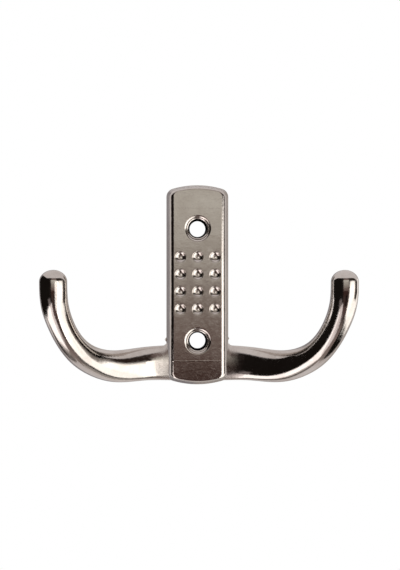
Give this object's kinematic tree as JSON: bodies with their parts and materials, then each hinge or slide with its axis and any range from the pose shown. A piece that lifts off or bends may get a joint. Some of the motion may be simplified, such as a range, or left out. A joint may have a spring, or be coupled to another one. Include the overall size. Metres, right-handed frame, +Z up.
{
  "type": "double wall hook",
  "caption": "Wall hook with an arched cast backplate, countersunk screw holes, a grid of round dimples and upturned round-ended prongs to the left and right.",
  "frame": {"origin": "on the wall plane, midway between the two screw holes, on the rib that crosses the backplate's hollow back", "axes": "+Z up the backplate, +X to the right across the prongs for someone facing the hook, +Y into the wall, so the hook stands out towards -Y"},
  "size_m": [0.0876, 0.0321, 0.0574],
  "materials": {
    "satin_nickel": "satin nickel plating on die-cast zinc, with the fine grain of the casting showing through",
    "zinc_plated_steel": "bright zinc plating on small screws"
  },
  "bodies": {
    "root": {"backplate": "satin_nickel", "left_prong": "satin_nickel", "right_prong": "satin_nickel", "left_prong_screw": "zinc_plated_steel", "right_prong_screw": "zinc_plated_steel"}
  },
  "joints": []
}
